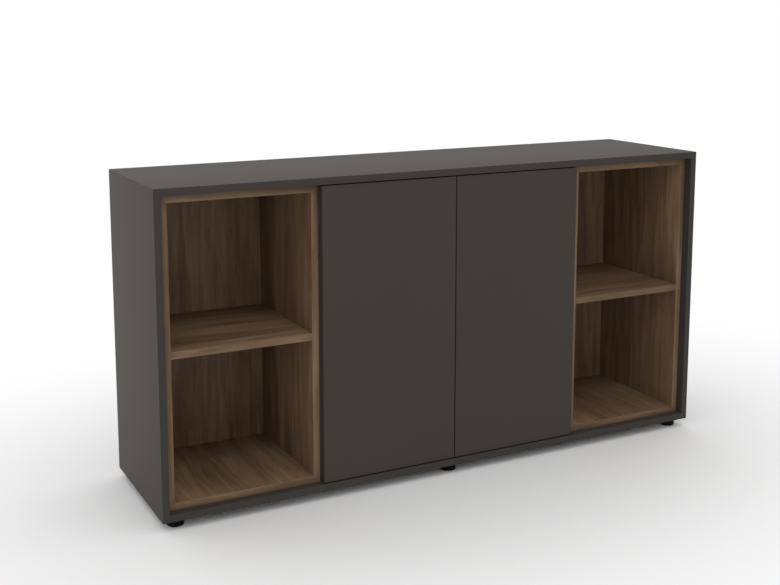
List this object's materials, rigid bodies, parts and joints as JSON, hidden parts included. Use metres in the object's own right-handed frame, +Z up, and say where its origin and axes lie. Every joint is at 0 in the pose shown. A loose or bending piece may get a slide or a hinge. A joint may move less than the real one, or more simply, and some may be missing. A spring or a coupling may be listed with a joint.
{
  "type": "office credenza",
  "caption": "Office credenza: dark mitred carcass on levelling feet, open walnut niches with fixed shelves at both ends, and a cupboard with handleless push-open doors between them.",
  "frame": {"origin": "on the floor, under the middle of the carcass", "axes": "+X to the right of a person who faces the doors, +Y from the doors to the back, +Z up"},
  "size_m": [1.6, 0.4, 0.823],
  "materials": {
    "anthracite_board": "matt anthracite melamine on particle board",
    "walnut_board": "satin walnut decor melamine on particle board",
    "back_board": "matt anthracite fibreboard",
    "nickel_steel": "nickel-plated pressed steel",
    "grey_plastic": "moulded grey plastic",
    "black_plastic": "moulded black plastic"
  },
  "bodies": {
    "carcass": {"top_panel": "anthracite_board", "bottom_panel": "anthracite_board", "left_side_panel": "anthracite_board", "right_side_panel": "anthracite_board", "back_panel": "back_board", "left_partition": "anthracite_board", "right_partition": "anthracite_board", "cupboard_shelf": "anthracite_board", "left_front_shelf_pin": "nickel_steel", "left_rear_shelf_pin": "nickel_steel", "right_front_shelf_pin": "nickel_steel", "right_rear_shelf_pin": "nickel_steel", "left_niche_top": "walnut_board", "left_niche_floor": "walnut_board", "left_niche_outer_side": "walnut_board", "left_niche_inner_side": "walnut_board", "left_niche_back": "walnut_board", "left_niche_shelf": "walnut_board", "right_niche_top": "walnut_board", "right_niche_floor": "walnut_board", "right_niche_outer_side": "walnut_board", "right_niche_inner_side": "walnut_board", "right_niche_back": "walnut_board", "right_niche_shelf": "walnut_board", "left_lower_hinge_arm": "nickel_steel", "left_lower_hinge_plate": "nickel_steel", "left_upper_hinge_arm": "nickel_steel", "left_upper_hinge_plate": "nickel_steel", "right_lower_hinge_arm": "nickel_steel", "right_lower_hinge_plate": "nickel_steel", "right_upper_hinge_arm": "nickel_steel", "right_upper_hinge_plate": "nickel_steel", "left_latch_housing": "grey_plastic", "right_latch_housing": "grey_plastic", "front_left_foot_socket": "black_plastic", "front_middle_foot_socket": "black_plastic", "front_right_foot_socket": "black_plastic", "rear_left_foot_socket": "black_plastic", "rear_middle_foot_socket": "black_plastic", "rear_right_foot_socket": "black_plastic"},
    "left_door": {"left_door": "anthracite_board", "left_strike_plate": "nickel_steel", "left_lower_hinge_cup": "nickel_steel", "left_upper_hinge_cup": "nickel_steel"},
    "right_door": {"right_door": "anthracite_board", "right_strike_plate": "nickel_steel", "right_lower_hinge_cup": "nickel_steel", "right_upper_hinge_cup": "nickel_steel"},
    "left_lower_hinge_link": {"left_lower_hinge_link": "nickel_steel"},
    "left_upper_hinge_link": {"left_upper_hinge_link": "nickel_steel"},
    "right_lower_hinge_link": {"right_lower_hinge_link": "nickel_steel"},
    "right_upper_hinge_link": {"right_upper_hinge_link": "nickel_steel"},
    "left_latch_plunger": {"left_latch_plunger": "black_plastic"},
    "right_latch_plunger": {"right_latch_plunger": "black_plastic"},
    "front_left_foot": {"front_left_foot": "black_plastic"},
    "front_middle_foot": {"front_middle_foot": "black_plastic"},
    "front_right_foot": {"front_right_foot": "black_plastic"},
    "rear_left_foot": {"rear_left_foot": "black_plastic"},
    "rear_middle_foot": {"rear_middle_foot": "black_plastic"},
    "rear_right_foot": {"rear_right_foot": "black_plastic"}
  },
  "joints": [
    {"name": "left_door_swing", "type": "hinge", "parent": "carcass", "child": "left_door", "pos_m": [-0.3745, -0.1905, 0.423], "axis": [0, 0, -1], "range_deg": [0, 105]},
    {"name": "right_door_swing", "type": "hinge", "parent": "carcass", "child": "right_door", "pos_m": [0.3745, -0.1905, 0.423], "axis": [0, 0, 1], "range_deg": [0, 105]},
    {"name": "left_lower_link_turn", "type": "hinge", "parent": "carcass", "child": "left_lower_hinge_link", "pos_m": [-0.34785, -0.18617, 0.144], "axis": [0, 0, 1], "range_deg": [0, 44.5]},
    {"name": "left_upper_link_turn", "type": "hinge", "parent": "carcass", "child": "left_upper_hinge_link", "pos_m": [-0.34785, -0.18617, 0.702], "axis": [0, 0, 1], "range_deg": [0, 44.5]},
    {"name": "right_lower_link_turn", "type": "hinge", "parent": "carcass", "child": "right_lower_hinge_link", "pos_m": [0.34785, -0.18617, 0.144], "axis": [0, 0, -1], "range_deg": [0, 44.5]},
    {"name": "right_upper_link_turn", "type": "hinge", "parent": "carcass", "child": "right_upper_hinge_link", "pos_m": [0.34785, -0.18617, 0.702], "axis": [0, 0, -1], "range_deg": [0, 44.5]},
    {"name": "left_plunger_push", "type": "slide", "parent": "carcass", "child": "left_latch_plunger", "axis": [0, -1, 0], "range_m": [0, 0.0205]},
    {"name": "right_plunger_push", "type": "slide", "parent": "carcass", "child": "right_latch_plunger", "axis": [0, -1, 0], "range_m": [0, 0.0205]},
    {"name": "front_left_foot_level", "type": "slide", "parent": "carcass", "child": "front_left_foot", "axis": [0, 0, -1], "range_m": [0, 0.008]},
    {"name": "front_middle_foot_level", "type": "slide", "parent": "carcass", "child": "front_middle_foot", "axis": [0, 0, -1], "range_m": [0, 0.008]},
    {"name": "front_right_foot_level", "type": "slide", "parent": "carcass", "child": "front_right_foot", "axis": [0, 0, -1], "range_m": [0, 0.008]},
    {"name": "rear_left_foot_level", "type": "slide", "parent": "carcass", "child": "rear_left_foot", "axis": [0, 0, -1], "range_m": [0, 0.008]},
    {"name": "rear_middle_foot_level", "type": "slide", "parent": "carcass", "child": "rear_middle_foot", "axis": [0, 0, -1], "range_m": [0, 0.008]},
    {"name": "rear_right_foot_level", "type": "slide", "parent": "carcass", "child": "rear_right_foot", "axis": [0, 0, -1], "range_m": [0, 0.008]}
  ],
  "couplings": [
    {"joint": "left_lower_link_turn", "follows": "left_door_swing", "ratio": 0.42202},
    {"joint": "left_upper_link_turn", "follows": "left_door_swing", "ratio": 0.42202},
    {"joint": "right_lower_link_turn", "follows": "right_door_swing", "ratio": 0.42202},
    {"joint": "right_upper_link_turn", "follows": "right_door_swing", "ratio": 0.42202},
    {"joint": "left_plunger_push", "follows": "left_door_swing", "m_per_rad": 0.010914},
    {"joint": "right_plunger_push", "follows": "right_door_swing", "m_per_rad": 0.010914}
  ]
}
